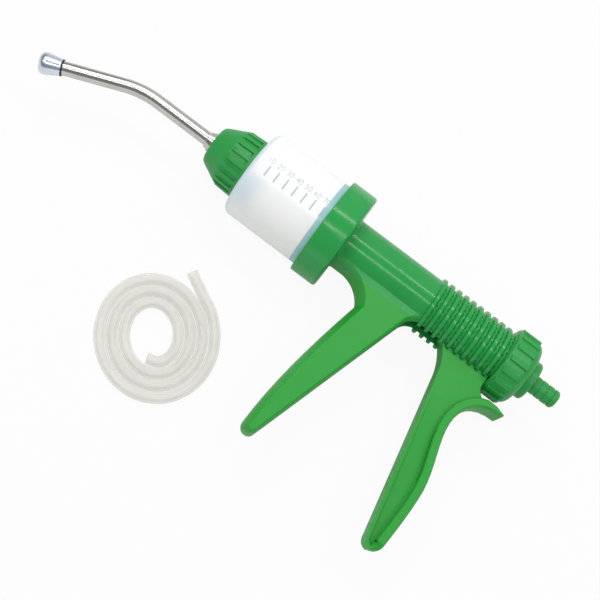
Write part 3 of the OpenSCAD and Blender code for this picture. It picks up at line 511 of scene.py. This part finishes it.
def ridge(bm, first, last):
    """One stretch of thread between two angles, in degrees from the start of the thread."""
    a = math.radians(90 + first)
    spoke = Vector((0, math.cos(a), -math.sin(a)))
    base = THREAD_X - PITCH * first / 360
    line = [bm.verts.new(gun(base + x) + spoke * r / 1000) for x, r in crest]
    edges = [bm.edges.new(pair) for pair in zip(line, line[1:] + line[:1])]
    steps = max(2, round((last - first) / ARC_STEP))
    sweep = math.radians(last - first)
    bmesh.ops.spin(bm, geom=edges, cent=gun(base), axis=(-1, 0, 0), angle=sweep, steps=steps,
                   dvec=(-PITCH / 1000 * (last - first) / 360 / steps, 0, 0))


thread_bm = bmesh.new()
turn_start = 0.0
while turn_start < THREAD_LAST:
    slot_at = SLOT_AT + 360 * round((turn_start - 90) / 360) if turn_start else SLOT_AT
    turn_end = min(slot_at - SLOT_HALF, THREAD_END)
    ridge(thread_bm, turn_start, turn_end)
    turn_start = slot_at + SLOT_HALF
bmesh.ops.holes_fill(thread_bm, edges=[e for e in thread_bm.edges if e.is_boundary], sides=len(crest))
bmesh.ops.recalc_face_normals(thread_bm, faces=thread_bm.faces)
thread = piece("thread_crest", thread_bm, "body", "green_plastic")
thread.data.materials.append(green)

# %% [markdown]
# ## The scale
# The numbers and ticks are raised on the barrel's smooth band. Text is a flat curve, so it is made a mesh
# first, scaled to the height of the digits, and then wrapped: across the text becomes along the barrel, and
# up becomes an angle.

# %% Raise the scale on the barrel
BARREL_R, DIGIT_W, DIGIT_H, DIGIT_UP, DIGIT_DOWN = 25.6, 4.3, 3.3, 0.12, -0.05  # mm; the width is a factor
SCALE_STEP, FIRST_DIGIT, FIRST_TICK = 5.87, 55.5, 54.5  # mm along the axis
DIGIT_TURN, TICK_TURN = -5.4, 8.2  # degrees round the barrel
TICK_SIZE, TICK_LIFT, TICK_EDGE, TICK_CUTS = (0.75, 6.3, 0.17), 0.03, 0.05, 7  # mm, and cuts along a tick
MARKS = 7
marks, where = finish("raised_marks")
veil = marks.noise(where, 500, 2)
mark_finish = marks.surface({"Base Color": marks.blend(veil, tone(196, 206, 221), tone(210, 218, 229)),
                             "Roughness": 0.35 + 0.1 * veil, "Transmission Weight": 0.2, "IOR": 1.4})


def wrap(bm, x, degrees):
    """Lays a flat shape, in millimetres, on the barrel with its middle at a place and an angle."""
    for v in bm.verts:
        a = math.radians(degrees) - v.co.y / BARREL_R
        r = BARREL_R + v.co.z
        v.co = gun(x - v.co.x, r * math.sin(a), r * math.cos(a))


def digits(text):
    """A number as a thin plate of the digits' height."""
    data = bpy.data.curves.new("digits", "FONT")
    data.body, data.extrude, data.offset = text, 0.06, -0.012
    item = bpy.data.objects.new("digits", data)
    bpy.context.scene.collection.objects.link(item)
    bm = bmesh.new()
    bm.from_mesh(as_mesh(item))
    low = [min(v.co[k] for v in bm.verts) for k in range(3)]
    high = [max(v.co[k] for v in bm.verts) for k in range(3)]
    for v in bm.verts:
        v.co.x = (v.co.x - (low[0] + high[0]) / 2) * DIGIT_W
        v.co.y = (v.co.y - (low[1] + high[1]) / 2) * DIGIT_H / (high[1] - low[1])
        v.co.z = DIGIT_UP if v.co.z > 0 else DIGIT_DOWN
    return bm


for k in range(MARKS):
    dose = 10 * (k + 1)
    number = digits(str(dose))
    wrap(number, FIRST_DIGIT - SCALE_STEP * k, DIGIT_TURN)
    piece("dose_%d" % dose, number, "body", "frosted_plastic").data.materials.append(mark_finish)
    tick = bmesh.new()
    bmesh.ops.create_cube(tick, size=1)
    bmesh.ops.scale(tick, vec=TICK_SIZE, verts=tick.verts)
    bmesh.ops.translate(tick, vec=(0, 0, TICK_LIFT), verts=tick.verts)
    lengthwise = [e for e in tick.edges if abs(e.verts[0].co.y - e.verts[1].co.y) > 1]
    bmesh.ops.subdivide_edges(tick, edges=lengthwise, cuts=TICK_CUTS)
    bmesh.ops.bevel(tick, geom=tick.edges[:], offset=TICK_EDGE, affect="EDGES", segments=1, profile=0.5,
                    material=-1)
    wrap(tick, FIRST_TICK - SCALE_STEP * k, TICK_TURN)
    piece("tick_%d" % dose, tick, "body", "frosted_plastic").data.materials.append(mark_finish)

# %% [markdown]
# ## Studio
# The photograph has a plain white ground and two long strip lights over the gun: each leaves one narrow
# streak along the tube. A panel in front gives the bright pipe its broad shine. To the camera, floor and
# surroundings are white. Gloss sees the sky white at the near horizon and grey overhead and behind, as in a
# studio with a dark ceiling, and for lighting it stays at a plain level.

# %% Light the studio
AMBIENT, CEILING, GLOW = 0.5, 0.24, 0.92
FLOOR_HALF, FLOOR_DROP = 3, 0.0002  # metres


def seen(made, *kinds):
    """1 for rays that show the background: from the camera and of these kinds."""
    total = made.node("ShaderNodeLightPath", out="Is Camera Ray")
    for kind in kinds:
        total = total + made.node("ShaderNodeLightPath", out=kind)
    return total.above(0.5, 0.1)


world = bpy.data.worlds.new("studio")
bpy.context.scene.world = world
sky = Nodes(world)
toward = sky.node("ShaderNodeTexCoord", out="Generated")
height = sky.node("ShaderNodeSeparateXYZ", None, {0: toward}, "Z")
near = sky.node("ShaderNodeSeparateXYZ", None, {0: toward}, "Y").above(0, 0.6)
pale = (1 - height.above(0.3, 0.25)) * (0.35 + 0.65 * near)
pale = pale + sky.node("ShaderNodeLightPath", out="Is Camera Ray")
backdrop = sky.blend(pale.above(0.5, 0.5), (CEILING, CEILING, CEILING, 1), WHITE)
shown = sky.node("ShaderNodeBackground", None, {"Color": backdrop, "Strength": 1.0})
soft = sky.node("ShaderNodeBackground", None, {"Color": WHITE, "Strength": AMBIENT})
share = seen(sky, "Is Glossy Ray", "Is Transmission Ray")
mixed = sky.node("ShaderNodeMixShader", None, {0: share, 1: soft, 2: shown})
sky.node("ShaderNodeOutputWorld", None, {"Surface": mixed})

ground, where = finish("white_floor")
paper = ground.noise(where, 40, 2)
sheet = ground.blend(paper, tone(236, 236, 236), tone(240, 240, 240))
matte = ground.node("ShaderNodeBsdfDiffuse", None, {"Color": sheet})
glow = ground.node("ShaderNodeEmission", None, {"Color": WHITE, "Strength": 1.0})
share = GLOW * seen(ground, "Is Transmission Ray")
mixed = ground.node("ShaderNodeMixShader", None, {0: share, 1: matte, 2: glow})
ground.node("ShaderNodeOutputMaterial", None, {"Surface": mixed})
floor_bm = bmesh.new()
bmesh.ops.create_grid(floor_bm, x_segments=8, y_segments=8, size=FLOOR_HALF)
floor_mesh = bpy.data.meshes.new("floor")
floor_bm.to_mesh(floor_mesh)
floor_bm.free()
floor_mesh.materials.append(ground.owner)
floor = bpy.data.objects.new("floor", floor_mesh)
floor.location.z = -FLOOR_DROP
bpy.context.scene.collection.objects.link(floor)


def strip(name, degrees, away, size, radiance, along=-20):
    """A light over a place along the gun, so many degrees from overhead towards the top of the picture."""
    data = bpy.data.lights.new(name, "AREA")
    data.shape, data.size, data.size_y = "RECTANGLE", size[0], size[1]
    data.energy = radiance * math.pi * size[0] * size[1]
    lamp = bpy.data.objects.new(name, data)
    a = math.radians(degrees)
    lamp.location = gun(along) + away * Vector((0, -math.sin(a), math.cos(a)))
    lamp.rotation_euler = (a, 0, 0)
    bpy.context.scene.collection.objects.link(lamp)


strip("near_strip", -12, 1.0, (1.3, 0.06), 9.0)
strip("far_strip", 24, 1.0, (1.3, 0.06), 11.0)
strip("side_softbox", 58, 1.4, (1.6, 1.2), 0.4)
strip("pipe_panel", 21, 1.0, (0.4, 0.76), 1.6, 450)
bpy.context.scene.view_settings.view_transform = "Standard"
print("studio lit")
